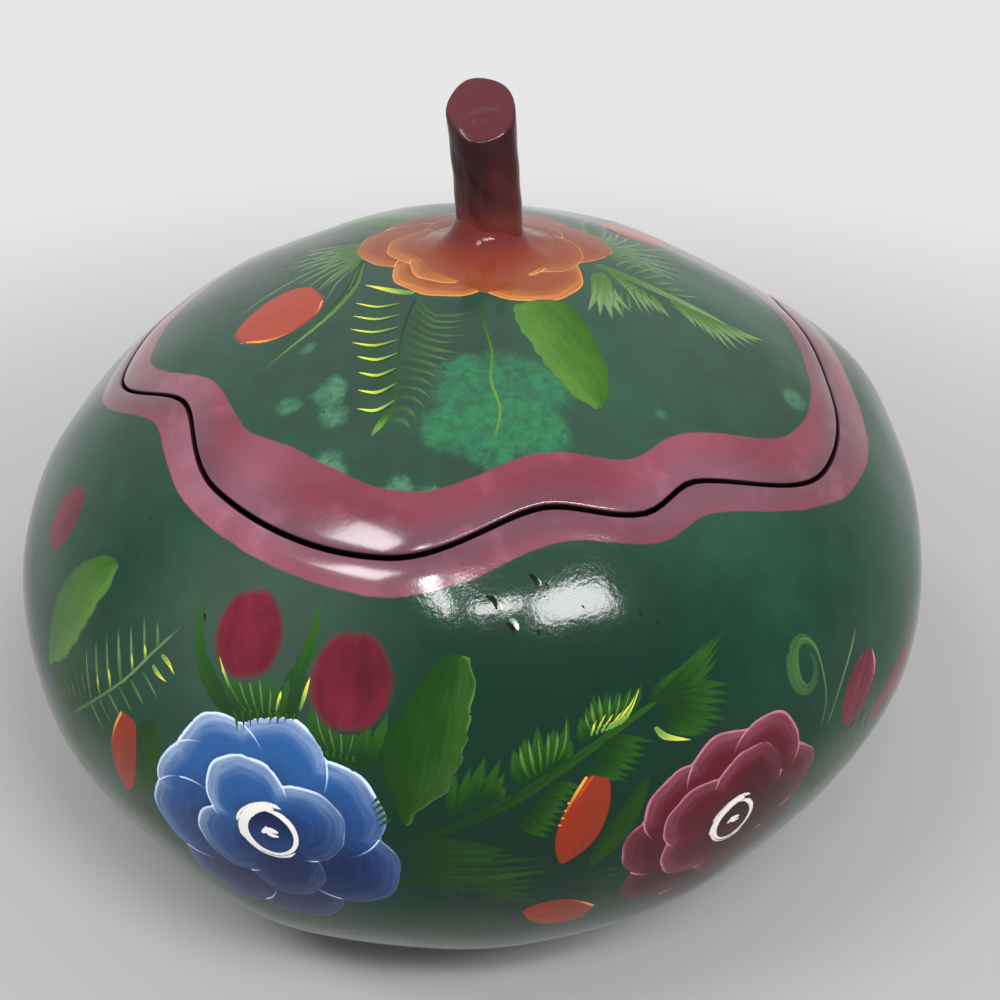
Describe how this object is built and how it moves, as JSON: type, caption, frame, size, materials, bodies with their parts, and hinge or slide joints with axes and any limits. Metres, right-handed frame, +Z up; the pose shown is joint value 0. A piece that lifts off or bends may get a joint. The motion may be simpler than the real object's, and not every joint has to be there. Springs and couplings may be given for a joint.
{
  "type": "gourd trinket box",
  "caption": "Round lidded trinket box made from a dried gourd sawn along a wavy line, lacquered and painted with folk flowers, with the stalk as the lid's handle.",
  "frame": {"origin": "middle of the flat that the gourd stands on", "axes": "+Z up towards the stalk, front of the box towards -Y, +X to the right seen from the front"},
  "size_m": [0.18, 0.1798, 0.1569],
  "materials": {
    "gourd_lacquer": "dried gourd shell, painted dark green with folk flowers under gloss lacquer",
    "stalk_paint": "dried gourd stalk, painted maroon brown under gloss lacquer",
    "collar_paint": "lumpy wood filler, painted rust red under gloss lacquer"
  },
  "bodies": {
    "bowl": {"bowl": "gourd_lacquer"},
    "lid": {"lid": "gourd_lacquer", "stem": "stalk_paint", "stem_collar": "collar_paint"}
  },
  "joints": [
    {"name": "lid_lift", "type": "slide", "parent": "bowl", "child": "lid", "axis": [0, 0, 1], "range_m": [0, 0.12]}
  ]
}
